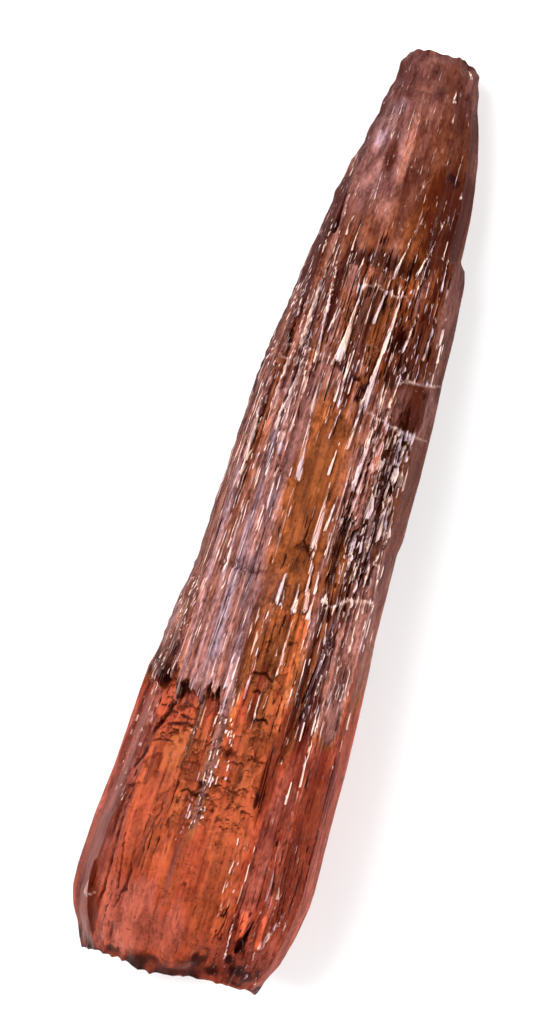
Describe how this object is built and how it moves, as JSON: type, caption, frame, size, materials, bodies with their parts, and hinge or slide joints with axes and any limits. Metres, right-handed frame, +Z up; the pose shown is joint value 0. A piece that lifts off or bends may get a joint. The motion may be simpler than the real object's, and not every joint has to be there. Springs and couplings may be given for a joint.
{
  "type": "rough tourmaline",
  "caption": "Long etched and striated gem crystal, broken at its wide base and tapering to a blunt tip, lying on a flat face.",
  "frame": {"origin": "centre of the bounding box in plan, at the level of the surface that the crystal lies on", "axes": "+X along the crystal from its broken base to its tip, +Z up out of the face that the picture shows, +Y to the left as seen from above with the tip pointing away"},
  "size_m": [0.0704, 0.0166, 0.0122],
  "materials": {
    "tourmaline": "translucent orange-brown gem crystal under a satin, mauve-brown, striated and etched skin, with a glossy deeper orange lower front"
  },
  "bodies": {
    "root": {"tourmaline_crystal": "tourmaline"}
  },
  "joints": []
}
